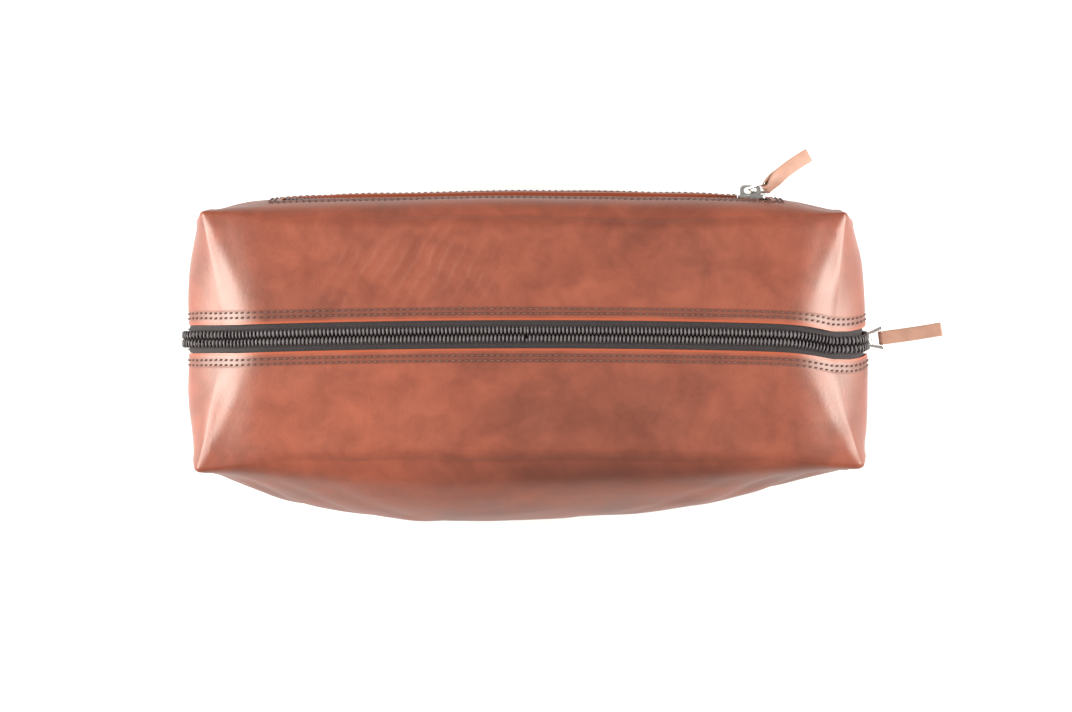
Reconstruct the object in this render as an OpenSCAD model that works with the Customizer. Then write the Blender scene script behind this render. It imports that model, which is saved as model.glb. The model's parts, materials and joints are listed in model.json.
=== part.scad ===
// Leather shaving kit bag: a boxed zip pouch standing on its base.
// +X runs along the main zip, -Y is the front, +Y the back with the zip pocket, +Z is up.
// The origin is the centre of the base's resting face. Millimetres.

/* [Body] */
// Length between the corner seams
body_l = 254; // [220:2:300]
// Width of the top and the base between their folds
body_w = 98; // [80:2:120]
// Height of the long folds above the base
body_h = 117; // [100:1:140]
// How far the zip stands above the long folds
crown = 4; // [1:0.5:6]
// How far the front wall bellies out
front_belly = 24; // [5:1:30]
// How far the back wall bellies out
back_belly = 10; // [8:0.5:13]
// How far the ends belly out at the zip
end_belly = 5.5; // [2:0.5:6]
// Thickness of the leather
leather_t = 1.8; // [1.2:0.1:2.0]

/* [Zips] */
// Width of zip that shows between the leather edges
zip_gap = 10.8; // [10.4:0.2:12]
// Width of the closed coil chain
coil_w = 6.2; // [5.8:0.1:6.4]
// Full width of one woven tape
tape_w = 15; // [12:1:18]
// Length of the pocket's zip window
pocket_l = 192; // [160:2:200]
// Height of the middle of the pocket zip
pocket_z = 94; // [88:0.5:96]

/* [Pulls] */
// Length of the main zip's leather pull
main_strap_l = 25.5; // [18:1:36]
// Length of the pocket zip's leather pull
pocket_strap_l = 23; // [18:1:28]
// Width of a leather pull
strap_w = 5.4; // [4:0.2:6]
// Thickness of a leather pull, folded double
strap_t = 3; // [2:0.2:3.2]

/* [Hidden] */

leather = "sienna";
suede = "tan";
cloth = "dimgray";
woven = [0.16, 0.15, 0.15];
nylon = [0.28, 0.27, 0.27];
nickel = "silver";
thread = [0.25, 0.16, 0.12];

half_l = body_l / 2;
half_w = body_w / 2;
mid_z = body_h / 2;              // height of the seam across each end
base_seam = 3;                   // the base's seam runs just behind the middle
inner_l = half_l - leather_t;    // inside of the walls at their folds
inner_w = half_w - leather_t;

// Depths below the outer face of the leather, so that layers never touch.
tape_d = leather_t + 0.2;
tape_t = 0.6;
lining_d = tape_d + tape_t + 0.4;
lining_t = 0.8;
coil_t = 2.4;
coil_d = tape_d - 0.1 - coil_t;  // negative: the coil stands just proud of the leather
slot = 0.55;                     // half of the slot between the two coils
thread_t = 0.4;
thread_w = 0.8;
row_1 = 1.8;                     // first stitch row, in from the leather's edge
row_2 = 3.7;                     // second stitch row

flap_end = half_l - 0.3;
flap_y = inner_w - 1;            // outer edge of a mouth flap
end_top = body_h - leather_t - 0.5; // top edge of the end leather, under the flaps
end_tape_top = end_top - 1.3;
tape_end = inner_l - 0.6;        // where the tapes stop under the flaps
lining_top = end_top - 2;
flap_lining_l = half_l - lining_d - lining_t - 1.2;
flap_lining_y = half_w - lining_d - lining_t - 0.6;
lining_gap = zip_gap / 2 + 3;    // half of the lining's window behind the zip

pocket_hl = pocket_l / 2;
pouch_bottom = 24;
pouch_hl = pocket_hl + 2;
pouch_y = inner_w - 0.2;         // outer face of the pouch's inner layer
pouch_top = pocket_z - tape_w + 1.6;
pouch_fill = 50;                 // below this height the pouch's outer layer closes in
pouch_t = 0.5;

slider_l = 11.5;
slider_w = 9.4;
plate_t = 1;
bail_w = 1;                      // the bridge over the slider, across the zip
bail_h = 3.6;
bail_l = 8;
bail_hole = 1.2;                 // radius of each end of the bridge's opening
wire = 1;                        // wire of the pull rings
ring_l = 6.5;
plate_z = coil_t + 0.45;         // underside of the slider's top plate above the tape
pivot_h = plate_z + plate_t + 1.55; // the ring's pivot above the tape

main_slider_z = mid_z + 8;       // slider closed, just above the end seam
pocket_slider_x = 87;            // slider closed, at the right of the window

// The body's faces at depth d: a box whose walls belly out between their folds.
function swell(a, size, power) = 1 - pow(min(1, abs(a) / size), power);
function top_z(x, y) = body_h + crown * swell(y, half_w, 2) * swell(x, half_l, 8);
function front_y(x, z, d) =
    d - half_w - front_belly * swell(x, half_l - d, 2.4) * swell(z - mid_z, mid_z - d, 2.2);
function back_y(x, z, d) =
    half_w - d + back_belly * swell(x, half_l - d, 6) * swell(z - mid_z, mid_z - d, 3);
function end_x(y, z, d) =
    half_l - d + end_belly * swell(y, half_w - d, 2) * swell(z - mid_z, mid_z - d, 10);

// A thin curved sheet: near(u, v) and far(u, v) give its two faces for u and v from 0 to 1.
// With a floor, the flat ends of both faces at v = 0 are closed instead of their rim.
module sheet(nu, nv, near, far, floor = false) {
    n = (nu + 1) * (nv + 1);
    grid = [for (i = [0 : nu], j = [0 : nv]) [i / nu, j / nv]];
    points = concat([for (g = grid) near(g[0], g[1])], [for (g = grid) far(g[0], g[1])]);
    function at(i, j) = i * (nv + 1) + j;
    sides = [for (i = [0 : nu - 1], j = [0 : nv - 1]) each [
        [at(i, j), at(i + 1, j), at(i + 1, j + 1)],
        [at(i, j), at(i + 1, j + 1), at(i, j + 1)],
        [n + at(i, j), n + at(i + 1, j + 1), n + at(i + 1, j)],
        [n + at(i, j), n + at(i, j + 1), n + at(i + 1, j + 1)]
    ]];
    ends = [for (j = [0 : nv - 1]) each [
        [n + at(0, j + 1), n + at(0, j), at(0, j), at(0, j + 1)],
        [n + at(nu, j), n + at(nu, j + 1), at(nu, j + 1), at(nu, j)]
    ]];
    top = [for (i = [0 : nu - 1])
        [n + at(i + 1, nv), n + at(i, nv), at(i, nv), at(i + 1, nv)]];
    rim = [for (i = [0 : nu - 1]) [n + at(i, 0), n + at(i + 1, 0), at(i + 1, 0), at(i, 0)]];
    floors = [
        [for (i = [0 : nu]) at(nu - i, 0)],
        [for (i = [0 : nu]) n + at(i, 0)],
        [n + at(0, 0), n + at(nu, 0), at(nu, 0), at(0, 0)]
    ];
    polyhedron(points, concat(sides, ends, top, floor ? floors : rim), convexity = 4);
}

function mix(a, b, t) = a + (b - a) * t;

// Part of the top between depths d and d + t, over x0..x1 and y0..y1.
module top_sheet(x0, x1, y0, y1, d, t, nu = 16, nv = 5) {
    sheet(nu, nv,
        function (u, v) let (x = mix(x0, x1, u), y = mix(y0, y1, v)) [x, y, top_z(x, y) - d - t],
        function (u, v) let (x = mix(x0, x1, u), y = mix(y0, y1, v)) [x, y, top_z(x, y) - d]);
}

module back_sheet(x0, x1, z0, z1, d, t, nu = 20, nv = 10) {
    sheet(nu, nv,
        function (u, v) let (x = mix(x0, x1, u), z = mix(z0, z1, v)) [x, back_y(x, z, d), z],
        function (u, v) let (x = mix(x0, x1, u), z = mix(z0, z1, v)) [x, back_y(x, z, d + t), z]);
}

// Part of the right-hand end.
module end_sheet(y0, y1, z0, z1, d, t, nu = 4, nv = 6) {
    sheet(nu, nv,
        function (u, v) let (y = mix(y0, y1, u), z = mix(z0, z1, v)) [end_x(y, z, d + t), y, z],
        function (u, v) let (y = mix(y0, y1, u), z = mix(z0, z1, v)) [end_x(y, z, d), y, z]);
}

module both_ends() {
    children();
    mirror([1, 0, 0]) children();
}

// Half of a skin at depth d: one end, a wall (0 front, 1 back, 2 flat), the other end and a base
// that reaches to y = middle.
module half_skin(d, t, end_z, wall_z, window, wall, middle) {
    nx = 16;
    ny = 5;
    nu = nx + 2 * ny;
    function wall_y(x, z, e) = wall == 0 ? front_y(x, z, e)
        : wall == 1 ? -back_y(x, z, e) : e - half_w;
    function end_point(sign, k, z, e) =
        let (y = mix(middle, e - half_w, k)) [sign * end_x(y, z, e), y, z];
    function wall_point(k, z, e) =
        let (x = mix(e - half_l, half_l - e, k)) [x, wall_y(x, z, e), z];
    function skin_point(i, z, e) = i < ny ? end_point(-1, i / ny, z, e)
        : i <= ny + nx ? wall_point((i - ny) / nx, z, e) : end_point(1, (nu - i) / ny, z, e);
    far = half_l + end_belly + 1;
    difference() {
        sheet(nu, 10,
            function (u, v) skin_point(round(u * nu), mix(d + t, wall_z, v), d + t),
            function (u, v) skin_point(round(u * nu), mix(d, wall_z, v), d), true);
        translate([-far, d + t + 0.2 - half_w, end_z]) cube([2 * far, body_w, body_h]);
        both_ends() translate([inner_l - 6, -window, mid_z])
            cube([end_belly + 9, 2 * window, body_h]);
    }
}

module front_panel() {
    color(leather) half_skin(0, leather_t, end_top, body_h, zip_gap / 2, 0, base_seam);
}

module front_flap() {
    color(leather) top_sheet(-flap_end, flap_end, -flap_y, -zip_gap / 2, 0, leather_t);
}

module back_panel() {
    color(leather) difference() {
        mirror([0, 1, 0])
            half_skin(0, leather_t, end_top, body_h, zip_gap / 2, 1, -base_seam - 0.1);
        translate([-pocket_hl, inner_w, pocket_z - zip_gap / 2])
            cube([pocket_l, back_belly + 5, zip_gap]);
    }
}

module back_flap() {
    color(leather) top_sheet(-flap_end, flap_end, zip_gap / 2, flap_y, 0, leather_t);
}

module front_lining() {
    color(cloth)
        half_skin(lining_d, lining_t, lining_top - 1, lining_top, lining_gap, 0, base_seam);
}

// The back's cloth hangs flat, which leaves the belly of the wall to the pocket.
module back_lining() {
    color(cloth) mirror([0, 1, 0])
        half_skin(lining_d, lining_t, lining_top - 1, lining_top, lining_gap, 2,
            -base_seam - 0.1);
}

module front_flap_lining() {
    color(cloth) top_sheet(-flap_lining_l, flap_lining_l, -flap_lining_y, -lining_gap,
        lining_d, lining_t, 10, 3);
}

module back_flap_lining() {
    color(cloth) top_sheet(-flap_lining_l, flap_lining_l, lining_gap, flap_lining_y,
        lining_d, lining_t, 10, 3);
}

// The pouch's outer layer follows the leather and meets the inner layer round three edges.
module pocket_pouch_outer() {
    function full(x, z) = swell(x, pouch_hl, 10)
        * swell(max(0, pouch_fill - z), pouch_fill - pouch_bottom, 6);
    function out_y(x, z) = mix(pouch_y + 0.9, back_y(x, z, lining_d), full(x, z));
    color(cloth) sheet(18, 8,
        function (u, v)
            let (x = mix(-pouch_hl, pouch_hl, u), z = mix(pouch_bottom, pouch_top, v))
            [x, out_y(x, z), z],
        function (u, v)
            let (x = mix(-pouch_hl, pouch_hl, u), z = mix(pouch_bottom, pouch_top, v))
            [x, out_y(x, z) - pouch_t, z]);
}

module pocket_pouch_inner() {
    color(cloth) translate([-pouch_hl, pouch_y - pouch_t, pouch_bottom])
        cube([2 * pouch_hl, pouch_t, pocket_z + tape_w - 1 - pouch_bottom]);
}

module front_zip_tape() {
    color(woven) top_sheet(-tape_end, tape_end, -tape_w, -slot, tape_d, tape_t, 16, 2);
}

module back_zip_tape() {
    color(woven) top_sheet(-tape_end, tape_end, slot, tape_w, tape_d, tape_t, 16, 2);
}

module front_zip_coil() {
    color(nylon) top_sheet(-flap_end, flap_end, -coil_w / 2, -slot, coil_d, coil_t, 16, 2);
}

module back_zip_coil() {
    color(nylon) top_sheet(-flap_end, flap_end, slot, coil_w / 2, coil_d, coil_t, 16, 2);
}

module end_zip_tapes() {
    for (side = [0, 1]) mirror([0, side, 0])
        end_sheet(-tape_w, -slot, mid_z + 0.2, end_tape_top, tape_d, tape_t, 2, 8);
}

module end_zip_coils() {
    for (side = [0, 1]) mirror([0, side, 0])
        end_sheet(-coil_w / 2, -slot, mid_z + 0.2, end_tape_top, coil_d, coil_t, 1, 8);
}

module left_end_zip_tapes() { color(woven) mirror([1, 0, 0]) end_zip_tapes(); }
module right_end_zip_tapes() { color(woven) end_zip_tapes(); }
module left_end_zip_coils() { color(nylon) mirror([1, 0, 0]) end_zip_coils(); }
module right_end_zip_coils() { color(nylon) end_zip_coils(); }

// A straight tape of the pocket zip; lo and hi are heights from the zip's middle.
module pocket_tape(lo, hi) {
    color(woven) sheet(1, 3,
        function (u, v) let (z = pocket_z + mix(lo, hi, v))
            [mix(-pocket_hl, pocket_hl, u), back_y(pocket_hl, z, tape_d), z],
        function (u, v) let (z = pocket_z + mix(lo, hi, v))
            [mix(-pocket_hl, pocket_hl, u), back_y(pocket_hl, z, tape_d + tape_t), z]);
}

// A straight coil of the pocket zip, lying square on the tilted tape; lo is its lower edge.
module pocket_coil(lo) {
    coil_hl = pocket_hl - 1;
    color(nylon) translate([0, pocket_tape_y, pocket_z]) rotate([pocket_tilt, 0, 0])
        translate([-coil_hl, 0.1, lo]) cube([2 * coil_hl, coil_t, coil_w / 2 - slot]);
}

module pocket_tape_upper() { pocket_tape(slot, tape_w - 2); }
module pocket_tape_lower() { pocket_tape(2 - tape_w, -slot); }
module pocket_coil_upper() { pocket_coil(slot); }
module pocket_coil_lower() { pocket_coil(-coil_w / 2); }

// A coil zip's slider: X along the zip towards its closed end, Y across it, Z out of the tape.
module slider() {
    wall = coil_w / 2 + 0.35;
    under = -tape_t - 0.3 - plate_t;
    color(nickel) {
        translate([0, 0, plate_z]) linear_extrude(plate_t) slider_outline();
        for (side = [-1, 1])
            translate([-slider_l / 2 + 1.5, side > 0 ? wall : -wall - 1, 0.4])
                cube([slider_l - 4, 1, plate_z - 0.4 + plate_t / 2]);
        translate([0, 0, under]) linear_extrude(plate_t) slider_outline();
        translate([1, -slot + 0.3, under + plate_t / 2])
            cube([3.4, 2 * slot - 0.6, plate_z - under]);
        bail(plate_z + plate_t);
    }
}

module slider_outline() {
    r = 1.2;
    end_w = coil_w + 1.6;
    hull() {
        for (side = [-1, 1]) {
            translate([slider_l / 2 - r, side * (slider_w / 2 - r)]) circle(r, $fn = 24);
            translate([-slider_l / 2 + r, side * (end_w / 2 - r)]) circle(r, $fn = 24);
        }
    }
}

// The bridge that the pull's ring passes through.
module bail(z) {
    translate([0, bail_w / 2, z - 0.2]) rotate([90, 0, 0]) linear_extrude(bail_w) difference() {
        hull() {
            translate([-bail_l / 2, 0]) square([bail_l, 0.4]);
            for (side = [-1, 1]) translate([side * (bail_l / 2 - 1.6), bail_h - 1.4])
                circle(1.6, $fn = 32);
        }
        hull() for (side = [-1, 1]) translate([side * 1.3, 0.55 + bail_hole])
            circle(bail_hole, $fn = 32);
    }
}

// A wire ring: its short bar turns in the bail along Y, and its long bar holds the strap out at +X.
module pull_ring() {
    short = 1.9;
    long = strap_w / 2 + wire + 0.4;
    color(nickel) {
        for (bar = [[0, short], [ring_l, long]])
            translate([bar[0], bar[1], 0]) rotate([90, 0, 0]) cylinder(d = wire, h = 2 * bar[1]);
        for (side = [-1, 1]) hull() {
            for (corner = [[0, short], [ring_l, long]])
                translate([corner[0], side * corner[1], 0]) sphere(d = wire + 0.2, $fn = 16);
        }
    }
}

// A strap folded round the ring's long bar, which lies along Y at the origin;
// bend is its sideways turn along its length.
module pull_strap(length, bend) {
    steps = 10;
    function along(n) = n == 0 ? [0, 0] : along(n - 1)
        + length / steps * [cos(bend * (n - 0.5) / steps), sin(bend * (n - 0.5) / steps)];
    function at(u, v, z) =
        let (p = along(round(u * steps)), s = (v - 0.5) * strap_w)
        [p[0] - strap_t / 2 - s * sin(bend * u), p[1] + s * cos(bend * u), z];
    color(suede) difference() {
        sheet(steps, 1,
            function (u, v) at(u, v, -strap_t / 2),
            function (u, v) at(u, v, strap_t / 2));
        rotate([90, 0, 0]) cylinder(r = wire / 2 + 0.15, h = strap_w + 1, center = true, $fn = 32);
    }
}

// The main slider sits on the right-hand end with its zip running up.
main_tape_x = end_x(0, main_slider_z, tape_d);
main_yaw = 7;
module at_main_slider() {
    translate([main_tape_x, 0, main_slider_z]) rotate([0, 90, 0]) children();
}
module at_main_pull() {
    translate([main_tape_x + pivot_h, 0, main_slider_z]) rotate([0, 0, main_yaw]) children();
}
module main_slider() { at_main_slider() slider(); }
module main_pull_ring() { at_main_pull() pull_ring(); }
module main_pull_strap() {
    at_main_pull() translate([ring_l, 0, 0]) pull_strap(main_strap_l, 3);
}

// The pocket slider sits on the back wall, tilted with it. Its ring leans up and to the right,
// and its strap leaves the ring level and curls to the right.
pocket_tape_y = back_y(pocket_hl, pocket_z, tape_d);
pocket_tilt = atan(back_y(pocket_hl, pocket_z - 1, tape_d)
    - back_y(pocket_hl, pocket_z, tape_d));
pocket_lean = 45;
pocket_roll = 60;
pocket_pitch = 40;
module at_pocket() {
    translate([pocket_slider_x, pocket_tape_y, pocket_z]) rotate([pocket_tilt, 0, 0])
        children();
}
module at_pocket_pull() {
    at_pocket() translate([0, pivot_h, 0]) rotate([-pocket_tilt, 0, 0])
        rotate([0, 0, pocket_lean]) rotate([pocket_roll, 0, 0]) rotate([0, -pocket_pitch, 0])
            children();
}
module pocket_slider() { at_pocket() rotate([-90, 0, 0]) slider(); }
module pocket_pull_ring() { at_pocket_pull() pull_ring(); }
module pocket_pull_strap() {
    at_pocket_pull() translate([ring_l, 0, 0]) rotate([0, pocket_pitch, 0])
        pull_strap(pocket_strap_l, -30);
}

// Rows of thread lying on the leather.
module front_zip_stitching() {
    for (row = [row_1, row_2]) color(thread)
        top_sheet(-flap_end + 1, flap_end - 1, -zip_gap / 2 - row - thread_w / 2,
            -zip_gap / 2 - row + thread_w / 2, -thread_t - 0.05, thread_t, 16, 1);
}

module back_zip_stitching() { mirror([0, 1, 0]) front_zip_stitching(); }

module end_zip_stitching() {
    both_ends() for (side = [0, 1], row = [row_1, row_2]) color(thread) mirror([0, side, 0])
        end_sheet(-zip_gap / 2 - row - thread_w / 2, -zip_gap / 2 - row + thread_w / 2,
            mid_z + 1, end_top, -thread_t - 0.05, thread_t, 1, 6);
}

module pocket_stitching() {
    for (row = [row_1, row_2]) color(thread) {
        x1 = pocket_hl + row;
        z1 = zip_gap / 2 + row;
        w = thread_w / 2;
        for (side = [-1, 1])
            back_sheet(-x1 + w + 0.1, x1 - w - 0.1, pocket_z + side * z1 - w,
                pocket_z + side * z1 + w, -thread_t - 0.05, thread_t, 20, 1);
        both_ends()
            back_sheet(x1 - w, x1 + w, pocket_z - z1 - w, pocket_z + z1 + w,
                -thread_t - 0.05, thread_t, 1, 3);
    }
}

front_panel();
front_flap();
back_panel();
back_flap();
front_lining();
front_flap_lining();
back_lining();
back_flap_lining();
pocket_pouch_outer();
pocket_pouch_inner();
front_zip_tape();
back_zip_tape();
front_zip_coil();
back_zip_coil();
left_end_zip_tapes();
right_end_zip_tapes();
left_end_zip_coils();
right_end_zip_coils();
pocket_tape_upper();
pocket_tape_lower();
pocket_coil_upper();
pocket_coil_lower();
main_slider();
main_pull_ring();
main_pull_strap();
pocket_slider();
pocket_pull_ring();
pocket_pull_strap();
front_zip_stitching();
back_zip_stitching();
end_zip_stitching();
pocket_stitching();
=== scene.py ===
import json
import math

import bpy
import numpy as np
from mathutils import Matrix, Vector, noise


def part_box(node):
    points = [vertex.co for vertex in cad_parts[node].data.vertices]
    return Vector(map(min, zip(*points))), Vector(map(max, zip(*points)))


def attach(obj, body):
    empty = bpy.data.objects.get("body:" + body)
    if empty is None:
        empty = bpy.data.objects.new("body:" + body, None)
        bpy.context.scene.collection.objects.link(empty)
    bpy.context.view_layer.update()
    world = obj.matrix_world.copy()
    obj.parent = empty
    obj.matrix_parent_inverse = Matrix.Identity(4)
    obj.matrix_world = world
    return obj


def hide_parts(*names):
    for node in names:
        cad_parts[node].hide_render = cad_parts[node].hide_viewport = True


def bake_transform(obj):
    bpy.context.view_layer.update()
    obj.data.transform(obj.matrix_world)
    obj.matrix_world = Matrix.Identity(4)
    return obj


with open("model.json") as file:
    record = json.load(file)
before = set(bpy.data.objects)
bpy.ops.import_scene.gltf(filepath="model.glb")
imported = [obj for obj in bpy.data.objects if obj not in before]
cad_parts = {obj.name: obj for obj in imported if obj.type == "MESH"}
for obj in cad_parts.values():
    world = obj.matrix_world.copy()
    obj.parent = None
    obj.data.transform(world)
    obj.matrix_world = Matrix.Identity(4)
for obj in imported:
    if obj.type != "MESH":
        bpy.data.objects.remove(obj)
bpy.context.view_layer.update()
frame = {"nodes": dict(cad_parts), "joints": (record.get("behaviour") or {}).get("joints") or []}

# ------------------------------------------------ sizes, in millimetres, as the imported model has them
MM = 0.001
HX, HY, H = 127.0, 49.0, 117.0     # half length, half width and height of the folds
GAP = 5.4                          # half of the zip window between the leather edges
SEAM_Z = 58.5                      # seam across each end
WIN_X, WIN_Z = 96.0, 94.0          # pocket window: half length, and height of its middle
LEATHER, CLOTH = 1.8, 0.8
TAPE_D, LINING_D = 2.05, 3.0       # depths under the leather's outer face
ROWS = (2.6, 4.5)                  # stitch rows, in from the leather's edge
PITCH = 2.45                       # stitch length
COIL_PITCH = 1.5
ROLL_X, ROLL_Z = 23.0, 14.0        # the roll over each end, at the zip
ROLL_MIN = 3.0                     # the same roll at the corners, both ways
CORNER_R, BASE_R = 3.2, 6.5        # roundings of the upright corners and of the base
BELLY_FRONT, BELLY_BACK = 24.4, 10.3
BELLY_X = -12.0                    # the front wall is fullest here
CROWN, END_BULGE = 4.4, 6.0
SLANT, SKEW, BOW = 2.7, 2.4, 1.8   # the right-hand end's slant, the zip's skew beside it, the zip's bow
POINT = 1.7                        # how far the left-front corner stands out
DRAG_LINES = ((119, 0.55, 1.2, 4.2), (106, 0.85, 0.8, 5.0), (90, 1.2, 0.5, 6.0))    # x, lean, depth, width
JOINTS = {j["name"]: j for j in frame["joints"]}


# ------------------------------------------------ small helpers
def swell(a, size, power):
    """1 in the middle and 0 from size outwards, flatter on top with a higher power."""
    return 1 - np.minimum(1, np.abs(a) / size) ** power


def step(a, lo, hi):
    """A smooth rise from 0 at lo to 1 at hi."""
    t = np.clip((a - lo) / (hi - lo), 0, 1)
    return t * t * (3 - 2 * t)


def bump(d, w):
    """1 at distance 0, falling off over the width w."""
    return np.exp(-((d / w) ** 2))


def unit(v):
    return v / np.maximum(np.linalg.norm(v, axis=-1, keepdims=True), 1e-9)


def lines(*stops):
    """Grid lines from stretches, each (from, to, how many steps)."""
    out = []
    for a, b, n in stops:
        out += [a + (b - a) * i / n for i in range(n)]
    return np.array(out + [stops[-1][1]])


def both_ways(*stops):
    """The same lines mirrored about 0."""
    half = lines(*stops)
    return np.concatenate([-half[:0:-1], half])


def rolling_noise(p, scale, seed):
    """Smooth noise at the places p, its waves as short as scale says on each axis."""
    return np.array([noise.noise(Vector((q * scale + seed).tolist())) for q in p])


# ------------------------------------------------ the leather skin, as one welded grid
class BoxGrid:
    """The surface of a box as welded quads, and where any point of the flat box goes on the shaped one."""

    def __init__(self, xs, ys, zs):
        self.axes = (xs, ys, zs)
        nx, ny, nz = len(xs), len(ys), len(zs)
        ids = -np.ones((nx, ny, nz), dtype=int)
        shell = np.zeros(ids.shape, bool)
        for axis in range(3):
            for end in (0, -1):
                cut = [slice(None)] * 3
                cut[axis] = end
                shell[tuple(cut)] = True
        where = np.argwhere(shell)
        ids[shell] = np.arange(len(where))
        self.flat = np.stack([xs[where[:, 0]], ys[where[:, 1]], zs[where[:, 2]]], axis=1)
        self.faces = {
            "top": (ids[:, :, -1], (0, 1), False), "base": (ids[:, :, 0], (0, 1), True),
            "front": (ids[:, 0, :], (0, 2), False), "back": (ids[:, -1, :], (0, 2), True),
            "right": (ids[-1, :, :], (1, 2), False), "left": (ids[0, :, :], (1, 2), True)}
        quads, side = [], []
        for name, (grid, _, turned) in self.faces.items():
            a, b, c, d = grid[:-1, :-1], grid[1:, :-1], grid[1:, 1:], grid[:-1, 1:]
            q = np.stack([a, d, c, b] if turned else [a, b, c, d], axis=-1).reshape(-1, 4)
            quads.append(q)
            side += [name] * len(q)
        self.quads = np.vstack(quads)
        self.side = np.array(side)
        self.centre = self.flat[self.quads].mean(axis=1)
        self.points = self.flat.copy()

    def normals(self, p):
        q = self.quads
        fn = np.cross(p[q[:, 2]] - p[q[:, 0]], p[q[:, 3]] - p[q[:, 1]])
        n = np.zeros_like(p)
        for c in range(4):
            np.add.at(n, q[:, c], fn)
        return unit(n)

    def relax(self, p, weight, steps):
        """Evens the surface out along its normals."""
        q = self.quads
        e = np.vstack([q[:, [c, (c + 1) % 4]] for c in range(4)])
        e = np.unique(np.sort(e, axis=1), axis=0)
        count = np.bincount(e.ravel(), minlength=len(p))[:, None]
        for _ in range(steps):
            s = np.zeros_like(p)
            np.add.at(s, e[:, 0], p[e[:, 1]])
            np.add.at(s, e[:, 1], p[e[:, 0]])
            n = self.normals(p)
            d = s / count - p
            p = p + n * (weight * np.sum(d * n, axis=1))[:, None]
        return p

    def settle(self, p):
        """Takes p as the final shape."""
        self.points, self.n = p, self.normals(p)

    def at(self, name, u, v):
        """Place and normal on one face of the shaped box, for flat coordinates u and v."""
        grid, (a, b), _ = self.faces[name]
        ua, va = self.axes[a], self.axes[b]
        u, v = np.broadcast_arrays(np.asarray(u, float), np.asarray(v, float))
        i = np.clip(np.searchsorted(ua, u) - 1, 0, len(ua) - 2)
        j = np.clip(np.searchsorted(va, v) - 1, 0, len(va) - 2)
        s = ((u - ua[i]) / (ua[i + 1] - ua[i]))[..., None]
        t = ((v - va[j]) / (va[j + 1] - va[j]))[..., None]

        def mixed(x):
            low = x[grid[i, j]] * (1 - s) + x[grid[i + 1, j]] * s
            high = x[grid[i, j + 1]] * (1 - s) + x[grid[i + 1, j + 1]] * s
            return low * (1 - t) + high * t

        return mixed(self.points), unit(mixed(self.n))

    def over(self, s, y):
        """A place along the main zip's run: s is 0 mid-top, and past the folds it goes down the ends."""
        s, y = np.broadcast_arrays(np.asarray(s, float), np.asarray(y, float))
        p, n = self.at("top", np.clip(s, -HX, HX), y)
        for name, on in (("right", s > HX), ("left", s < -HX)):
            if on.any():
                p[on], n[on] = self.at(name, y[on], H - (np.abs(s[on]) - HX))
        return p, n


def roll(a, size_a, ra, b, size_b, rb, power):
    """How far points beside a square edge move, in a and in b, to round it off."""
    ka, kb = (a - (size_a - ra)) / ra, (b - (size_b - rb)) / rb
    on = (ka > 0) & (kb > 0)
    ka, kb = np.where(on, ka, 1), np.where(on, kb, 1)
    pull = np.where(on, np.maximum(ka, kb) / (ka ** power + kb ** power) ** (1 / power) - 1, 0)
    return ra * ka * pull, rb * kb * pull


def filled_shape(flat):
    """The plain box, bellied out and with its edges rolled, before any slack."""
    x, y, z = flat.T
    ax, ay = np.abs(x), np.abs(y)
    sx, sy = np.sign(x), np.sign(y)
    tip = np.clip(1 - ay / HY, 0, 1) ** 0.9
    moved = np.zeros_like(flat)
    roll_x = ROLL_MIN + (ROLL_X - ROLL_MIN) * tip
    roll_z = ROLL_MIN + (ROLL_Z - ROLL_MIN) * tip
    a, b = roll(ax, HX, roll_x, z, H, roll_z, 1.22)
    moved[:, 0] += a * sx
    moved[:, 2] += b
    fold = 2.6 + 6 * swell(x, HX, 5)
    a, b = roll(ay, HY, fold, z, H, fold, 2)
    moved[:, 1] += a * sy
    moved[:, 2] += b
    a, b = roll(ax, HX, CORNER_R, ay, HY, CORNER_R, 2)
    moved[:, 0] += a * sx
    moved[:, 1] += b * sy
    for w, size, s, out in ((ax, HX, sx, 0), (ay, HY, sy, 1)):
        a, b = roll(w, size, BASE_R, H - z, H, BASE_R, 2)
        moved[:, out] += a * s
        moved[:, 2] -= b
    zf, hz = z - H / 2, H / 2
    from_full = x - BELLY_X
    to_right = 1 - np.abs(from_full / (HX - BELLY_X)) ** 2.2
    to_left = 1 - np.abs(from_full / (HX + BELLY_X)) ** 3.2
    belly = BELLY_FRONT * np.where(from_full > 0, to_right, to_left) * swell(zf, hz, 2.2)
    moved[:, 1] -= np.where(y <= -HY, belly, 0)
    power = 3.4 + 2.6 * step(z, 72, 86)
    moved[:, 1] += np.where(y >= HY, BELLY_BACK * (1 - (ax / HX) ** power) * swell(zf, hz, 3.0), 0)
    end = END_BULGE * swell(y, HY, 3.4) * swell(zf, hz, 6)
    moved[:, 0] += np.where(ax >= HX, end * sx, 0)
    moved[:, 2] += np.where(z >= H, CROWN * swell(y, HY, 2) * swell(x, HX + 6, 3), 0)
    # the right-hand end slants, the zip bows a little towards the back, and one corner stands out
    moved[:, 0] -= SLANT * y / HY * np.clip(x / HX, 0, 1) ** 3
    moved[:, 1] -= SKEW * bump(HX - x, 18) * step(z, 98, 112) * (1 - step(ay, 8, 44))
    pointed = bump(np.hypot(x + HX, y + HY), 22) * step(z, 40, 110)
    moved[:, :2] -= POINT * pointed[:, None]
    moved[:, 1] += BOW * swell(x, 112, 2) * (1 - step(ay, 4, 46)) * step(z, 100, H)
    return flat + moved


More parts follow.
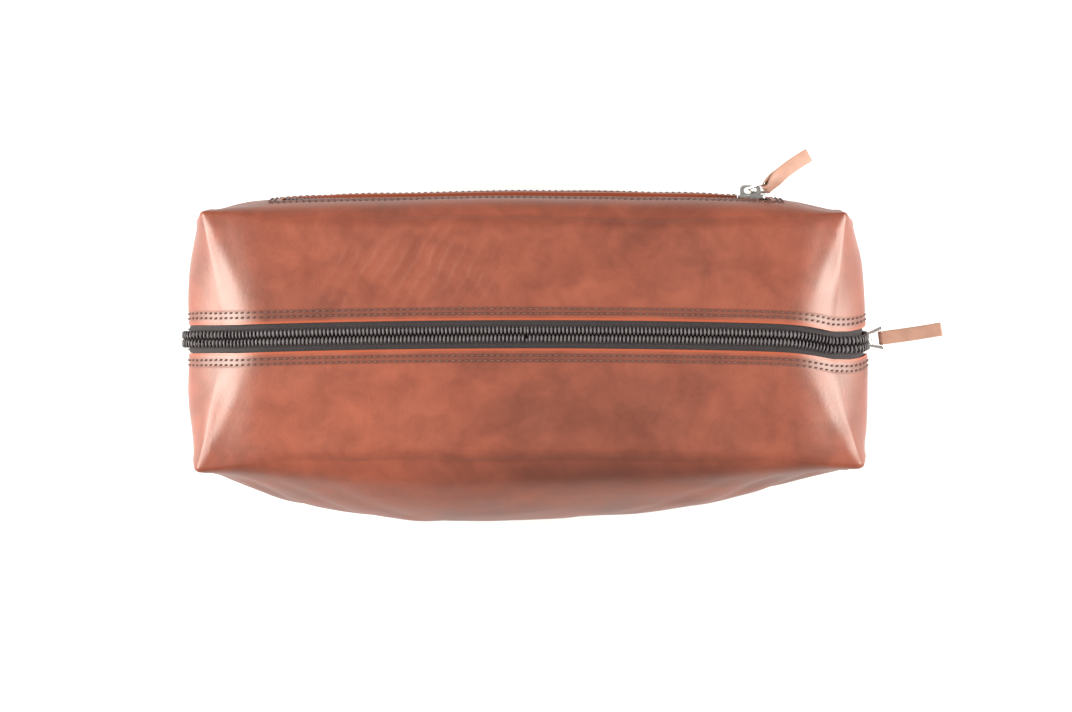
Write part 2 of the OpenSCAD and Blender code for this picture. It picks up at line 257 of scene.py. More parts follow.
def edge_distance(flat):
    """How far a point is from the nearest cut edge of the leather, in millimetres."""
    x, y, z = flat.T
    over_zip = (z >= H) | ((np.abs(x) >= HX) & (z >= SEAM_Z))
    to_zip = np.where(over_zip, np.abs(np.abs(y) - GAP), 99.0)
    dx, dz = np.abs(x) - WIN_X, np.abs(z - WIN_Z) - GAP
    outside = np.hypot(np.maximum(dx, 0), np.maximum(dz, 0)) + np.minimum(np.maximum(dx, dz), 0)
    return np.minimum(to_zip, np.where(y >= HY, np.abs(outside), 99.0))


def leather_skin():
    """The bag's whole outer face with its seams, slack and stitch dents, and the distance to a cut edge."""
    xs = both_ways((0, 91, 38), (91, 101, 10), (101, 120, 10), (120, 127, 8))
    ys = both_ways((0, GAP, 2), (GAP, 11.4, 8), (11.4, 42, 13), (42, 49, 8))
    zs = lines((0, 8, 7), (8, 54, 18), (54, 63, 12), (63, WIN_Z - GAP - 6, 9),
               (WIN_Z - GAP - 6, WIN_Z - GAP, 7), (WIN_Z - GAP, WIN_Z + GAP, 5),
               (WIN_Z + GAP, WIN_Z + GAP + 6, 7), (WIN_Z + GAP + 6, H, 11))
    grid = BoxGrid(xs, ys, zs)
    flat = grid.flat
    x, y, z = flat.T
    ax, ay = np.abs(x), np.abs(y)
    wall, end, top = ay >= HY, ax >= HX, z >= H
    edge = edge_distance(flat)
    p = filled_shape(flat)
    near_corner = bump(np.hypot(HX - ax, HY - ay), 6)
    p = grid.relax(p, 0.5 * (1 - 0.9 * near_corner), 8)
    facet = bump((HX - ax) + (H - z) - 4, 12) * (1 - near_corner) * (top | end)
    p = grid.relax(p, 0.5 * facet, 150)
    n = grid.normals(p)
    # turned seams down the four corners and across the ends, puckered by their stitches
    side = (end | wall) & ~top
    to_corner = np.where(end, HY - ay, HX - ax)
    pucker = np.sin(z * 0.71 + np.where(wall, 0.0, 1.3)) + 0.5 * np.sin(z * 1.37 + 0.4)
    seam = -0.95 * bump(to_corner, 1.0) + (0.6 + 0.2 * pucker) * bump(to_corner - 3.2, 2.0)
    seam = np.where(side, seam, 0) * (1 - 0.8 * step(z, H - 16, H - 2))
    to_seam = np.where(end, np.abs(z - SEAM_Z), 99.0)
    across = (0.5 + 0.18 * np.sin(y * 0.83)) * bump(to_seam - 2.8, 1.6) - 0.9 * bump(to_seam, 0.9)
    seam += across * step(ay, GAP - 1, GAP + 2)
    # hips from each corner to the zip, and the long folds, stand a little sharper
    hip_x = HX - ROLL_MIN - (ROLL_X - ROLL_MIN) * np.clip(1 - ay / HY, 0, 1) ** 0.9
    hip = np.where(top, 0.3 * bump(ax - hip_x, 2.6) * step(ay, 9, 26), 0)
    fold = np.where(top | wall, 0.3 * bump((HY - ay) + (H - z), 4.0) * step(ax, 40, 118), 0)
    # slack where the filling doesn't press, calm beside the stitched edges
    near_zip = np.where(top | (end & (z > SEAM_Z)), bump(np.maximum(ay - GAP, 0), 10), 0)
    near_window = np.where(wall & (y > 0), bump(z - WIN_Z, 15) * (1 - step(ax, 100, 118)), 0)
    calm = (1 - 0.85 * near_zip) * (1 - 0.85 * near_window)
    slack = 1.7 * rolling_noise(flat, np.array([0.02, 0.028, 0.024]), 3.1)
    slack += 0.6 * rolling_noise(flat, np.array([0.05, 0.08, 0.06]), 11.7)
    dent = -1.4 * np.where(top, bump(ax - 76, 30) * bump(ay - 31, 12), 0)
    sag = np.where(wall, 1.3 * bump(z - 22, 14) * swell(x, HX, 3), 0)
    drag = np.zeros(len(flat))
    for s in (-1, 1):
        for at, lean, deep, wide in DRAG_LINES:
            mask = (wall & (np.sign(x) == s)) * step(H - z, 5, 24) * (1 - step(H - z, 46, 90))
            drag -= (deep if s > 0 else 0.7 * deep) * bump((ax - at) + (H - z) * lean, wide) * mask
    p = p + n * (seam + hip + fold + (slack + dent + sag + drag) * calm)[:, None]
    # the rows of stitches pull the leather down, and its cut edges are a little crushed
    n = grid.normals(p)
    rows = 0.28 * (bump(edge - ROWS[0], 0.6) + bump(edge - ROWS[1], 0.6)) + 0.12 * bump(edge - 3.5, 2)
    p = p - n * (rows + 0.3 * bump(edge, 0.6))[:, None]
    p[:, 2] = np.maximum(p[:, 2], 0.0)
    grid.settle(p)
    return grid, edge


# ------------------------------------------------ meshes
def make(name, verts, faces, mats, face_mat=None, normals=None, attrs=None):
    mesh = bpy.data.meshes.new(name)
    places = np.asarray(verts, float) * MM
    mesh.from_pydata(places.tolist(), [], faces)
    for m in mats:
        mesh.materials.append(m)
    if face_mat is not None:
        mesh.polygons.foreach_set("material_index", face_mat)
    mesh.polygons.foreach_set("use_smooth", [True] * len(mesh.polygons))
    rest = mesh.attributes.new("rest", "FLOAT_VECTOR", "POINT")
    rest.data.foreach_set("vector", places.ravel())
    for key, values in (attrs or {}).items():
        mesh.attributes.new(key, "FLOAT", "POINT").data.foreach_set("value", values)
    mesh.update()
    if normals is not None:
        mesh.normals_split_custom_set(normals)
    obj = bpy.data.objects.new(name, mesh)
    bpy.context.collection.objects.link(obj)
    return obj


def shell(name, quads, outer, inner, n, mats, attrs=None):
    """A sheet between two faces, closed by a rim round its open edges."""
    used, q = np.unique(quads, return_inverse=True)
    q = q.reshape(-1, 4)
    k = len(used)
    flipped = q[:, ::-1] + k
    ring = np.vstack([q[:, [c, (c + 1) % 4]] for c in range(4)])
    key, back = ring[:, 0] * k + ring[:, 1], ring[:, 1] * k + ring[:, 0]
    open_edge = ring[~np.isin(key, back)]
    rim = np.stack([open_edge[:, 0], open_edge[:, 0] + k, open_edge[:, 1] + k, open_edge[:, 1]], axis=1)
    verts = np.vstack([outer[used], inner[used]])
    nn = n[used]
    rim_n = unit(np.cross(verts[rim[:, 1]] - verts[rim[:, 0]], verts[rim[:, 3]] - verts[rim[:, 0]]))
    loops = np.vstack([nn[q.ravel()], -nn[q[:, ::-1].ravel()], np.repeat(rim_n, 4, axis=0)])
    faces = np.vstack([q, flipped, rim]).tolist()
    face_mat = [0] * len(q) + [len(mats) - 1] * len(q) + [0] * len(rim)
    values = {key: np.tile(v[used], 2) for key, v in (attrs or {}).items()}
    return make(name, verts, faces, mats, face_mat, loops.tolist(), values)


def sheet(name, p, n, thickness, mats):
    """A shell over a grid of places p with normals n."""
    rows, columns = p.shape[:2]
    ids = np.arange(rows * columns).reshape(rows, columns)
    quads = np.stack([ids[:-1, :-1], ids[1:, :-1], ids[1:, 1:], ids[:-1, 1:]], axis=-1).reshape(-1, 4)
    p, n = p.reshape(-1, 3), n.reshape(-1, 3)
    face = np.cross(p[quads[0, 1]] - p[quads[0, 0]], p[quads[0, 3]] - p[quads[0, 0]])
    if face @ n[quads[0, 0]] < 0:
        quads = quads[:, ::-1]
    return shell(name, quads, p, p - n * thickness, n, mats)


def tubes(name, rings, mats):
    """Capped tubes: rings is (tubes, rings along each, points round each, 3)."""
    t, r, s = rings.shape[:3]
    ids = np.arange(t * r * s).reshape(t, r, s)
    nxt = np.roll(ids, -1, axis=2)
    quads = np.stack([ids[:, :-1], nxt[:, :-1], nxt[:, 1:], ids[:, 1:]], axis=-1).reshape(-1, 4)
    faces = quads.tolist() + ids[:, 0, ::-1].tolist() + ids[:, -1].tolist()
    return make(name, rings.reshape(-1, 3), faces, mats)


# ------------------------------------------------ materials
class Finish:
    """A node material, wired with short names."""

    def __init__(self, name):
        self.material = bpy.data.materials.new(name)
        self.material.use_nodes = True
        self.tree = self.material.node_tree
        self.bsdf = self.tree.nodes["Principled BSDF"]

    def node(self, kind, **values):
        n = self.tree.nodes.new(kind)
        for key, value in values.items():
            setattr(n, key, value)
        return n

    def put(self, socket, value):
        if isinstance(value, bpy.types.NodeSocket):
            self.tree.links.new(value, socket)
        else:
            socket.default_value = value

    def rest(self):
        return self.node("ShaderNodeAttribute", attribute_name="rest").outputs["Vector"]

    def mask(self, name):
        return self.node("ShaderNodeAttribute", attribute_name=name).outputs["Fac"]

    def noise(self, where, scale, detail=3.0, rough=0.55, twist=0.0):
        n = self.node("ShaderNodeTexNoise")
        for key, value in (("Vector", where), ("Scale", scale), ("Detail", detail),
                           ("Roughness", rough), ("Distortion", twist)):
            self.put(n.inputs[key], value)
        return n.outputs["Fac"]

    def cells(self, where, scale):
        n = self.node("ShaderNodeTexVoronoi")
        self.put(n.inputs["Vector"], where)
        self.put(n.inputs["Scale"], scale)
        return n.outputs["Distance"]

    def bands(self, where, scale, twist=0.0, detail_scale=1.0):
        n = self.node("ShaderNodeTexWave")
        for key, value in (("Vector", where), ("Scale", scale), ("Distortion", twist),
                           ("Detail Scale", detail_scale)):
            self.put(n.inputs[key], value)
        return n.outputs["Fac"]

    def span(self, value, lo, hi, a=0.0, b=1.0):
        n = self.node("ShaderNodeMapRange", clamp=True)
        for socket, v in zip(n.inputs, (value, lo, hi, a, b)):
            self.put(socket, v)
        return n.outputs[0]

    def math(self, op, a, b=0.0):
        n = self.node("ShaderNodeMath", operation=op)
        self.put(n.inputs[0], a)
        self.put(n.inputs[1], b)
        return n.outputs[0]

    def mix(self, share, a, b):
        n = self.node("ShaderNodeMix", data_type="RGBA")
        self.put(n.inputs[0], share)
        self.put(n.inputs[6], a)
        self.put(n.inputs[7], b)
        return n.outputs[2]

    def turned(self, where, angle):
        n = self.node("ShaderNodeMapping")
        self.put(n.inputs["Vector"], where)
        n.inputs["Rotation"].default_value = angle
        return n.outputs["Vector"]

    def relief(self, *layers):
        """One bump from the sum of the layers, each (height, millimetres)."""
        total = None
        for height, mm in layers:
            part = self.math("MULTIPLY", height, mm)
            total = part if total is None else self.math("ADD", total, part)
        n = self.node("ShaderNodeBump")
        n.inputs["Distance"].default_value = MM
        self.put(n.inputs["Height"], total)
        self.put(self.bsdf.inputs["Normal"], n.outputs["Normal"])

    def done(self, color, rough, **fixed):
        self.put(self.bsdf.inputs["Base Color"], color)
        self.put(self.bsdf.inputs["Roughness"], rough)
        for key, value in fixed.items():
            self.bsdf.inputs[key.replace("_", " ")].default_value = value
        return self.material


def rgb(*channels):
    """A colour given as sRGB from 0 to 255."""
    parts = [c / 255 for c in channels]
    return (*[((c + 0.055) / 1.055) ** 2.4 if c > 0.04 else c / 12.92 for c in parts], 1.0)


def leather_finish():
    f = Finish("cognac_leather")
    at = f.rest()
    broad = f.noise(at, 24, 3, 0.6, 0.6)
    cloudy = f.noise(at, 85, 4, 0.62, 0.4)
    tone = f.math("ADD", f.math("MULTIPLY", broad, 0.5), f.math("MULTIPLY", cloudy, 0.5))
    base = f.mix(f.span(tone, 0.24, 0.76), rgb(78, 34, 24), rgb(134, 67, 47))
    pores = f.noise(at, 900, 3, 0.7)
    base = f.mix(f.span(pores, 0.1, 0.9, 0.16, 0.0), base, rgb(86, 41, 27))
    # painted shade: the dark mask darkens the band along the front fold, and patches on the top
    base = f.mix(f.mask("dark"), base, rgb(56, 24, 18))
    edge = f.mask("edge")
    base = f.mix(f.span(edge, 0.6, 1.05, 1.0, 0.0), base, rgb(130, 58, 33))
    sewn = f.math("MULTIPLY", f.span(edge, 1.5, 2.1), f.span(edge, 4.9, 5.7, 1.0, 0.0))
    base = f.mix(f.math("MULTIPLY", sewn, 0.45), base, rgb(62, 34, 28))
    creases = f.bands(f.turned(at, (0, 0, math.radians(30))), 64, 3.0, 1.0)
    creases = f.math("MULTIPLY", f.span(creases, 0.2, 1.0), f.mask("crease"))
    f.relief((creases, 0.24), (cloudy, 0.12), (f.cells(at, 760), 0.03), (pores, 0.03))
    gloss = f.mask("gloss")
    rough = f.math("SUBTRACT", f.span(cloudy, 0.2, 0.8, 0.46, 0.56), f.math("MULTIPLY", gloss, 0.04))
    f.put(f.bsdf.inputs["Coat Weight"], f.math("MULTIPLY", gloss, 0.5))
    return f.done(base, rough, Specular_IOR_Level=0.5, Coat_Roughness=0.44,
                  Specular_Tint=(1.0, 0.86, 0.7, 1.0))


def cloth_finish(name, light, dark, scale, relief, rough, sheen):
    f = Finish(name)
    at = f.rest()
    warp = f.bands(f.turned(at, (0, 0, 0.785)), scale, 0.2)
    weft = f.bands(f.turned(at, (0.785, 0.4, -0.785)), scale, 0.2)
    weave = f.math("MAXIMUM", warp, weft)
    fuzz = f.noise(at, 1500, 3)
    base = f.mix(f.span(weave, 0.25, 0.95), dark, light)
    base = f.mix(f.span(fuzz, 0.45, 0.8, 0, 0.35), base, light)
    f.relief((weave, relief * 0.6), (fuzz, 0.02))
    return f.done(base, rough, Sheen_Weight=sheen, Sheen_Roughness=0.4)


def mottled_finish(name, one, other, rough, scale, relief, where=None, **fixed):
    f = Finish(name)
    at = f.rest() if where is None else f.node("ShaderNodeTexCoord").outputs[where]
    spots = f.noise(at, scale, 4)
    f.relief((spots, relief * 0.35), (f.cells(at, scale * 3), relief * 0.1))
    worn = f.span(f.noise(at, scale * 0.4, 2), 0.3, 0.7, rough - 0.07, rough + 0.07)
    return f.done(f.mix(f.span(spots, 0.3, 0.7), one, other), worn, **fixed)


LEATHER_MAT = leather_finish()
SUEDE = mottled_finish("suede_back", rgb(140, 94, 66), rgb(120, 78, 54), 0.9, 900, 0.12, Sheen_Weight=0.3)
TAPE_MAT = cloth_finish("woven_tape", rgb(46, 38, 37), rgb(18, 14, 14), 640, 0.16, 0.85, 0.1)
LINING_MAT = cloth_finish("cotton_lining", rgb(58, 54, 52), rgb(32, 29, 28), 420, 0.14, 0.9, 0.3)
THREAD_MAT = cloth_finish("waxed_thread", rgb(90, 50, 35), rgb(52, 29, 21), 1500, 0.08, 0.5, 0.0)
COIL_MAT = mottled_finish("nylon_coil", rgb(66, 58, 56), rgb(46, 40, 39), 0.42, 600, 0.01,
                          Specular_IOR_Level=0.6)
METAL = mottled_finish("polished_nickel", rgb(224, 221, 216), rgb(206, 202, 197), 0.18, 300, 0.01, "Object",
                       Metallic=1.0)
PULL_MAT = mottled_finish("tan_pull_leather", rgb(158, 117, 96), rgb(143, 104, 84), 0.6, 260, 0.1,
                          Sheen_Weight=0.12)


# ------------------------------------------------ where the mouth is split into pieces
CUT_Z = {"front": 103.0, "back": WIN_Z + GAP}     # each half of the mouth reaches down its wall to here


def opens_with(obj, half, right, *nodes, slot):
    """Hides the CAD nodes that obj stands for and bakes obj's place into its mesh."""
    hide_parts(*nodes)
    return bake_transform(obj)


def stays(obj, *nodes, slot, body="bag"):
    """obj rides on one body."""
    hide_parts(*nodes)
    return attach(obj, body)


def in_mouth(grid, half, right, low):
    """The quads of a skin that make up one quarter of the mouth."""
    x, y, z = grid.centre.T
    on = (y < 0) == (half == "front")
    on &= (x > 0) == right
    ends = (grid.side == "left") | (grid.side == "right")
    return on & ((grid.side == "top") | ((grid.side == half) & (z > low)) | (ends & (z > SEAM_Z)))


def zip_hole(grid, gap):
    """The quads that the main zip's window leaves out, for half its width."""
    _, y, z = grid.centre.T
    ends = (grid.side == "left") | (grid.side == "right")
    return (np.abs(y) < gap) & ((grid.side == "top") | (ends & (z > SEAM_Z)))


# ------------------------------------------------ leather
skin, edge = leather_skin()


def leather_pieces():
    x, y, z = skin.flat.T
    top, front = z >= H, y <= -HY
    down = np.where(front, H - z, -(HY + y))
    # painted shade: a dark band along the front fold, strongest mid-length towards the right, where the top
    # turns down into the front wall
    dark = 0.75 * (top | front) * bump(x - 30, 50) * bump(down - 5, 7)
    # darker patches on the top's front half near x 28, and over the top towards the right
    dark += 0.3 * top * (y < 0) * bump(y + 30, 18) * bump(x - 28, 40) + 0.1 * top * bump(x - 40, 70)
    crease = top * (y > 0) * bump(x + 24, 24) * bump(y - 27, 17)
    crease += 0.5 * top * (y > 0) * bump(x + 62, 20) * bump(y - 24, 14)
    gloss = bump(np.maximum(0, HX - 8 - np.abs(x)), 16) * (y > -HY) * (y < HY) * step(z, 70, 100)
    attrs = {"edge": edge, "dark": np.clip(dark, 0, 0.8), "crease": crease, "gloss": gloss}
    cx, _, cz = skin.centre.T
    window = (skin.side == "back") & (np.abs(cx) < WIN_X) & (np.abs(cz - WIN_Z) < GAP)
    taken = zip_hole(skin, GAP) | window
    inner = skin.points - skin.n * LEATHER

    def piece(name, chosen):
        return shell(name, skin.quads[chosen], skin.points, inner, skin.n, [LEATHER_MAT, SUEDE], attrs)

    for half in ("front", "back"):
        for right in (False, True):
            chosen = in_mouth(skin, half, right, CUT_Z[half]) & ~taken
            taken = taken | chosen
            obj = piece(f"{half}_mouth_leather_{'right' if right else 'left'}", chosen)
            opens_with(obj, half, right, half + "_flap", slot="leather")
    walls = {"front": (skin.side == "front") & ~taken, "back": (skin.side == "back") & ~taken}
    for half, chosen in walls.items():
        stays(piece(half + "_wall_leather", chosen), half + "_panel", slot="leather")
        taken = taken | chosen
    stays(piece("base_and_end_leather", ~taken), "front_panel", "back_panel", slot="leather")


leather_pieces()


# ------------------------------------------------ lining and pocket pouch
def lining_pieces():
    grid = BoxGrid(both_ways((0, 127, 22)), both_ways((0, 8.4, 1), (8.4, 49, 7)),
                   lines((0, SEAM_Z, 9), (SEAM_Z, CUT_Z["back"], 6), (CUT_Z["back"], CUT_Z["front"], 2),
                         (CUT_Z["front"], H, 8)))
    p, n = np.zeros_like(grid.flat), np.zeros_like(grid.flat)
    for name, (ids, (a, b), _) in grid.faces.items():
        used = np.unique(ids)
        p[used], n[used] = skin.at(name, grid.flat[used, a], grid.flat[used, b])
    p = p - n * LINING_D
    p[:, 1] = np.minimum(p[:, 1], HY - LINING_D)
    n = grid.normals(p)
    taken = zip_hole(grid, 8.4)
    for half in ("front", "back"):
        for right in (False, True):
            chosen = in_mouth(grid, half, right, CUT_Z[half]) & ~taken
            taken = taken | chosen
            obj = shell(f"{half}_mouth_lining_{'right' if right else 'left'}", grid.quads[chosen],
                        p, p - n * CLOTH, n, [LINING_MAT])
            opens_with(obj, half, right, half + "_flap_lining", slot="lining")
    obj = shell("main_lining", grid.quads[~taken], p, p - n * CLOTH, n, [LINING_MAT])
    stays(obj, "front_lining", "back_lining", slot="lining")


def pouch_pieces():
    (x0, y0, z0), (x1, _, z1) = [tuple(c / MM for c in corner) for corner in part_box("pocket_pouch_outer")]
    x, z = np.meshgrid(np.linspace(x0, x1, 61), np.linspace(z0, z1, 25), indexing="ij")
    p, _ = skin.at("back", x, z)
    full = swell(x, x1, 10) * swell(np.maximum(0, 50 - z), 50 - z0, 6)
    p[..., 1] = y0 + 0.5 + (p[..., 1] - LINING_D - y0 - 0.5) * full
    p[..., 0], p[..., 2] = x, z
    out = np.zeros_like(p)
    out[..., 1] = 1
    stays(sheet("pocket_pouch_outer_cloth", p, out, 0.5, [LINING_MAT]), "pocket_pouch_outer", slot="lining")
    (x0, _, z0), (x1, y1, z1) = [tuple(c / MM for c in corner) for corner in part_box("pocket_pouch_inner")]
    x, z = np.meshgrid(np.linspace(x0, x1, 49), np.linspace(z0, z1, 25), indexing="ij")
    p = np.stack([x, y1 - 0.1 + 0.1 * np.sin(x * 0.13 + z * 0.09), z], axis=-1)
    out = np.zeros_like(p)
    out[..., 1] = 1
    stays(sheet("pocket_pouch_inner_cloth", p, out, 0.4, [LINING_MAT]), "pocket_pouch_inner", slot="lining")


lining_pieces()
pouch_pieces()

# ------------------------------------------------ zips
RUN = HX + H - SEAM_Z - 0.6        # from mid-top to the bottom of either end's zip
TAPE_T, POCKET_TAPE_T = 0.6, 0.55
POCKET_GAP, POCKET_REACH = 0.55, 13.0    # the pocket tapes, out from the pocket zip's middle
TAPE_RIBS = ((3.95, 0.42, 0.3), (5.0, 0.5, 0.42))    # out from the zip's middle: place, height, width
TAPE_ACROSS = (0.5, 1.6, 2.9, 3.3, 3.5, 3.7, 3.95, 4.2, 4.4, 4.6, 4.8, 5.1, GAP, 5.8, 7.0, 9.5, 12.0, 14.0)


def along(s, y, gap):
    """Evenly spaced places on the main zip's run: places, normals, directions along and across."""
    p, n = skin.over(s, y)
    length = np.concatenate([[0], np.cumsum(np.linalg.norm(np.diff(p, axis=0), axis=1))])
    count = max(2, round(length[-1] / gap))
    at = np.linspace(0, length[-1], count + 1)
    p = np.stack([np.interp(at, length, p[:, k]) for k in range(3)], axis=1)
    n = unit(np.stack([np.interp(at, length, n[:, k]) for k in range(3)], axis=1))
    t = unit(np.gradient(p, axis=0))
    n = unit(n - t * np.sum(n * t, axis=1, keepdims=True))
    return p, n, t, np.cross(n, t)


def proud(s):
    """How far the zip stands out where it goes over the folds."""
    return np.where(s < 0, 3.2 * bump(s + HX + 9, 12), 4.2 * bump(s - HX - 5, 8))


def coil(p, n, t, side_way, sign):
    """One side of a coil: a wire wound along places p, 12 to a turn, whose heads reach the middle."""
    r_wire, across, high = 0.36, 1.36, 0.84
    turn = np.arange(len(p)) / 12
    share = (turn + (0 if sign > 0 else 0.5)) % 1
    lag = np.where(share < 0.5, 0.1 * share, 0.05 + 1.9 * (share - 0.5)) - share
    place = turn + lag
    p, n, t, side_way = [np.stack([np.interp(place, turn, q[:, k]) for k in range(3)], axis=1)
                         for q in (p, n, t, side_way)]
    c, s = np.cos(share * 2 * math.pi)[:, None], np.sin(share * 2 * math.pi)[:, None]
    c, s = np.sign(c) * np.abs(c) ** 0.8, np.sign(s) * np.abs(s) ** 0.8
    middle = p + side_way * sign * (across + 0.24 + across * c) + n * (high * s)
    head = unit(np.gradient(middle, axis=0))
    u = unit(t - head * np.sum(t * head, axis=1, keepdims=True))
    v = np.cross(head, u)
    round_it = np.arange(6) * math.pi / 3
    ring = np.cos(round_it)[None, :, None] * u[:, None] + np.sin(round_it)[None, :, None] * v[:, None]
    return (middle[:, None] + r_wire * ring)[None]


def stitches(p, n, t, side_way):
    """Thread lying on the leather between its holes, one short capsule per pair of holes."""
    s = np.linspace(-1, 1, 7)
    half, high = PITCH * 0.36, np.array([-0.4, 0.0, 0.2, 0.26, 0.2, 0.0, -0.4])
    radius = np.array([0.2, 0.33, 0.37, 0.38, 0.37, 0.33, 0.2])
    middle = (p[:, None] + t[:, None] * (s * half)[None, :, None] + n[:, None] * high[None, :, None]
              + side_way[:, None] * (0.14 * s)[None, :, None])
    turn = np.arange(7) * 2 * math.pi / 7
    ring = np.cos(turn)[None, :, None] * side_way[:, None] + np.sin(turn)[None, :, None] * n[:, None]
    return middle[:, :, None] + radius[None, :, None, None] * ring[:, None]


def main_zip():
    for half, sign in (("front", -1), ("back", 1)):
        for right in (False, True):
            s = np.linspace(0, RUN, 700) if right else np.linspace(-RUN, 0, 700)
            where = f"{half}_zip_{{}}_{'right' if right else 'left'}"
            end = "right_end" if right else "left_end"
            ss = np.linspace(s[0], s[-1], 150)[:, None]
            across = np.array(TAPE_ACROSS)[None, :]
            p, n = skin.over(ss, sign * across)
            ribs = sum(high * bump(across - at, wide) for at, high, wide in TAPE_RIBS)
            ribs = ribs * (1 + 0.45 * proud(ss))
            depth = TAPE_D - ribs - proud(ss) * swell(across, GAP, 8)
            obj = sheet(where.format("tape"), p - n * depth[..., None], n, TAPE_T, [TAPE_MAT])
            opens_with(obj, half, right, half + "_zip_tape", end + "_zip_tapes", slot="tape")
            p, n, t, side_way = along(s, 0.0, COIL_PITCH / 12)
            rise = proud(np.linspace(s[0], s[-1], len(p)))[:, None] - 0.72
            rings = coil(p + n * rise, n, t, side_way, sign)
            obj = tubes(where.format("coil"), rings, [COIL_MAT])
            opens_with(obj, half, right, half + "_zip_coil", end + "_zip_coils", slot="coil")
            rows = []
            for row in ROWS:
                p, n, t, side_way = along(s, sign * (GAP + row), PITCH)
                rows.append(stitches((p[1:] + p[:-1]) / 2, unit(n[1:] + n[:-1]), unit(t[1:] + t[:-1]),
                                     unit(side_way[1:] + side_way[:-1])))
            obj = tubes(where.format("stitches"), np.concatenate(rows), [THREAD_MAT])
            opens_with(obj, half, right, half + "_zip_stitching", "end_zip_stitching", slot="thread")


def pocket_zip():
    x0, x1 = (corner[0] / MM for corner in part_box("pocket_coil_lower"))
    tape = tape_height
    tilt = math.atan(tape(WIN_Z - 1) - tape(WIN_Z))
    out = np.array([0, math.cos(tilt), math.sin(tilt)])
    for name, a, b in (("upper", POCKET_GAP, POCKET_REACH), ("lower", -POCKET_REACH, -POCKET_GAP)):
        x, dz = np.meshgrid(np.linspace(-WIN_X, WIN_X, 81), np.linspace(a, b, 7), indexing="ij")
        p = np.stack([x, tape(WIN_Z + dz), WIN_Z + dz], axis=-1)
        n = np.broadcast_to(out, p.shape)
        obj = sheet(f"pocket_tape_{name}_woven", p, n, POCKET_TAPE_T, [TAPE_MAT])
        stays(obj, "pocket_tape_" + name, slot="tape")
    count = round((x1 - x0) / COIL_PITCH)
    x = np.linspace(x0 + 0.5, x1 - 0.5, count * 12 + 1)
    p = np.stack([x, np.full_like(x, tape(WIN_Z)), np.full_like(x, WIN_Z)], axis=1) + out * 1.3
    n = np.broadcast_to(out, p.shape)
    t = np.broadcast_to(np.array([1.0, 0, 0]), p.shape)
    for name, sign in (("upper", -1), ("lower", 1)):
        rings = coil(p, n, t, np.cross(n, t), sign)
        stays(tubes(f"pocket_coil_{name}_wire", rings, [COIL_MAT]), "pocket_coil_" + name, slot="coil")
    rows = []
    for row in ROWS:
        u, v = WIN_X + row, GAP + row
        corners = [(-u, -v), (u, -v), (u, v), (-u, v), (-u, -v)]
        for (xa, za), (xb, zb) in zip(corners, corners[1:]):
            long = math.hypot(xb - xa, zb - za)
            k = round(long / PITCH)
            f = (np.arange(k) + 0.5) / k
            p, n = skin.at("back", xa + (xb - xa) * f, WIN_Z + za + (zb - za) * f)
            t = unit(np.gradient(p, axis=0))
            n = unit(n - t * np.sum(n * t, axis=1, keepdims=True))
            rows.append(stitches(p, n, t, np.cross(n, t)))
    obj = tubes("pocket_window_stitches", np.concatenate(rows), [THREAD_MAT])
    stays(obj, "pocket_stitching", slot="thread")


def tape_height(z):
    """y of the pocket tapes' outer face at height z, as the straight zip lies in the bellied wall."""
    d = 2.0
    return HY - d + 10 * swell(WIN_X, HX - d, 6) * swell(z - SEAM_Z, SEAM_Z - d, 3)


main_zip()
pocket_zip()


# ------------------------------------------------ sliders and pulls
def metal_nodes():
    for name in ("main_slider", "main_pull_ring", "pocket_slider", "pocket_pull_ring"):
        obj = frame["nodes"][name]
        obj.data.materials.clear()
        obj.data.materials.append(METAL)
        bevel = obj.modifiers.new("soft_edges", "BEVEL")
        bevel.width, bevel.segments, bevel.limit_method = 0.18 * MM, 2, "ANGLE"
        bevel.harden_normals = False
        obj.data.polygons.foreach_set("use_smooth", [True] * len(obj.data.polygons))


RING_L, STRAP_W = 6.5, 5.4
BAR_FOLD, STRAP_T = 1.0, 0.94      # the strap's middle runs this far round the ring's bar; its thickness
SEWN_IN, SEWN_THICKER = 0.24, 0.42    # past the bar the two layers come together and fill up


def pull_strap(name, node, body, place, length, bend_deg, twist_deg):
    """A leather pull folded round the ring's long bar at the origin; it bends and turns along its length."""
    tail = length - 1.5
    round_bar = np.linspace(math.pi / 2, 3 * math.pi / 2, 15)
    fold = [(BAR_FOLD * math.cos(a), BAR_FOLD * math.sin(a), STRAP_T) for a in round_bar]
    up = []
    for x in np.linspace(tail, 1.2, 40):
        pinch = float(step(np.array(x), 0, 4.0))
        up.append((x, BAR_FOLD - SEWN_IN * pinch, STRAP_T + SEWN_THICKER * pinch))
    path = np.array(up + fold + [(x, -z, t) for x, z, t in reversed(up)])
    way = unit(np.gradient(path[:, :2], axis=0))
    out = np.stack([-way[:, 1], way[:, 0]], axis=1)
    quarters = ((1, 1, 0), (-1, 1, 90), (-1, -1, 180), (1, -1, 270))
    corners = [(cy, cz, math.radians(a0 + k * 30)) for cy, cz, a0 in quarters for k in range(4)]
    rings = []
    for (x, z, t), o in zip(path, out):
        r = min(0.42, t * 0.42)
        share = max(x, 0) / tail
        heading = math.radians(bend_deg) * share
        half_way = heading / 2
        turn = math.radians(twist_deg) * float(step(np.array(share), 0.0, 0.4))
        for cy, cz, a in corners:
            y = cy * (STRAP_W / 2 - r) + r * math.cos(a)
            off = cz * (t / 2 - r) + r * math.sin(a)
            px, pz = x + o[0] * off, z + o[1] * off
            y, pz = y * math.cos(turn) - pz * math.sin(turn), y * math.sin(turn) + pz * math.cos(turn)
            rings.append((px * math.cos(half_way) - y * math.sin(heading),
                          px * math.sin(half_way) + y * math.cos(heading), pz))
    world = np.array([tuple(place @ Vector(q)) for q in rings]).reshape(1, len(path), len(corners), 3)
    stays(tubes(name, world, [PULL_MAT]), node, slot="pull", body=body)


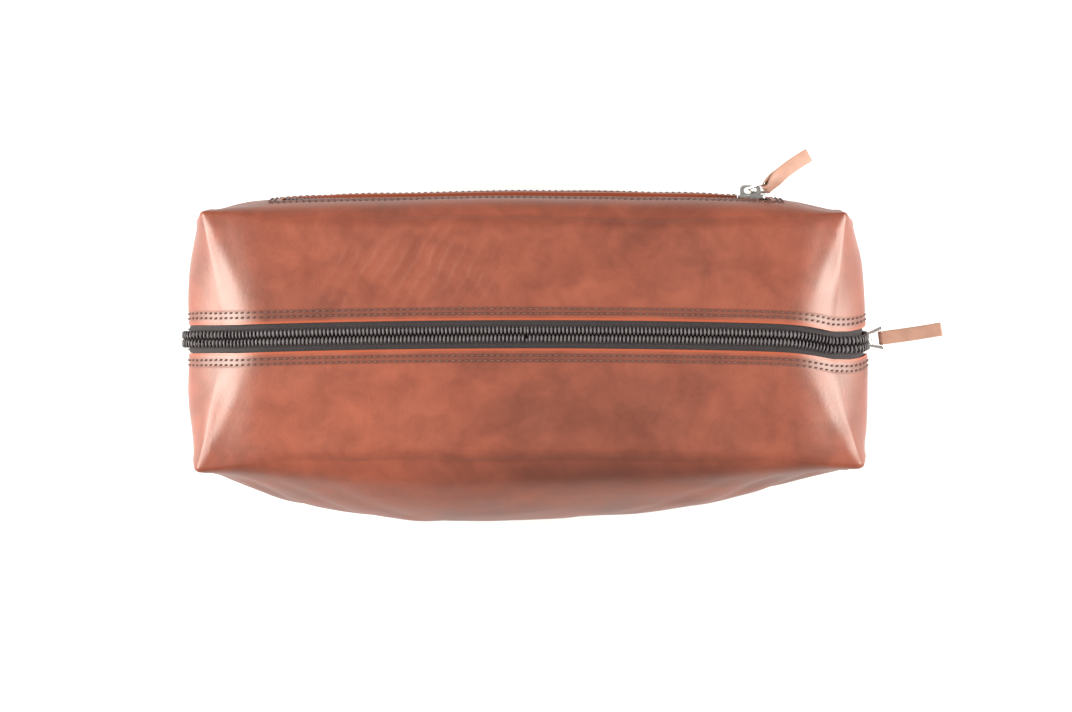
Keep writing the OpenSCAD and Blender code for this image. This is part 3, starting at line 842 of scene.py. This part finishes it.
def pull_place(joint, *turns):
    """From a strap's own space to the bag's: the joint, then turns in degrees and the ring's length."""
    place = Matrix.Translation(Vector(JOINTS[joint]["pos_m"]) / MM)
    for axis, degrees in turns:
        place = place @ (Matrix.Translation((RING_L, 0, 0)) if axis == "ring"
                         else Matrix.Rotation(math.radians(degrees), 4, axis))
    return place


def pulls():
    pull_strap("main_pull_strap_leather", "main_pull_strap", "main_pull",
               pull_place("main_pull_swing", ("Z", 7), ("ring", 0)), 25.5, 3, 0)
    pull_strap("pocket_pull_strap_leather", "pocket_pull_strap", "pocket_pull",
               pull_place("pocket_pull_swing", ("Z", 45), ("X", 60), ("Y", -40), ("ring", 0), ("Y", 40)),
               23, -30, -58)


metal_nodes()
pulls()


# ------------------------------------------------ floor, light and camera
FLOOR_HALF, FLOOR_Z = 3000.0, -0.15
AIM = Vector((0, 0, 0.06))         # the lights look here, in metres


def studio():
    side = np.linspace(-FLOOR_HALF, FLOOR_HALF, 3)
    x, y = np.meshgrid(side, side, indexing="ij")
    p = np.stack([x, y, np.full_like(x, FLOOR_Z)], axis=-1)
    n = np.zeros_like(p)
    n[..., 2] = 1
    pale = mottled_finish("pale_floor", rgb(206, 205, 202), rgb(202, 201, 198), 0.8, 4, 0.01)
    sheet("floor", p, n, 1.0, [pale])
    world = bpy.data.worlds.new("studio")
    world.use_nodes = True
    sky = world.node_tree.nodes["Background"]
    sky.inputs["Color"].default_value = (1.0, 0.99, 0.98, 1)
    sky.inputs["Strength"].default_value = 0.42
    bpy.context.scene.world = world
    for name, place, size, power in (("left_softbox", (-0.85, 0.0, 0.56), (0.9, 0.36), 29),
                                     ("right_softbox", (0.85, 0.0, 0.56), (0.9, 0.36), 25)):
        light = bpy.data.lights.new(name, "AREA")
        light.shape, light.size, light.size_y, light.energy = "RECTANGLE", *size, power
        lamp = bpy.data.objects.new(name, light)
        lamp.location = place
        lamp.rotation_mode = "QUATERNION"
        lamp.rotation_quaternion = (Vector(place) - AIM).to_track_quat("Z", "Y")
        bpy.context.collection.objects.link(lamp)
    camera = bpy.data.cameras.new("camera")
    camera.lens, camera.sensor_width = 88, 36
    view = bpy.data.objects.new("camera", camera)
    view.location = (0.0032, -0.0065, 1.12)
    bpy.context.collection.objects.link(view)
    bpy.context.scene.camera = view
    bpy.context.scene.view_settings.view_transform = "Standard"


studio()
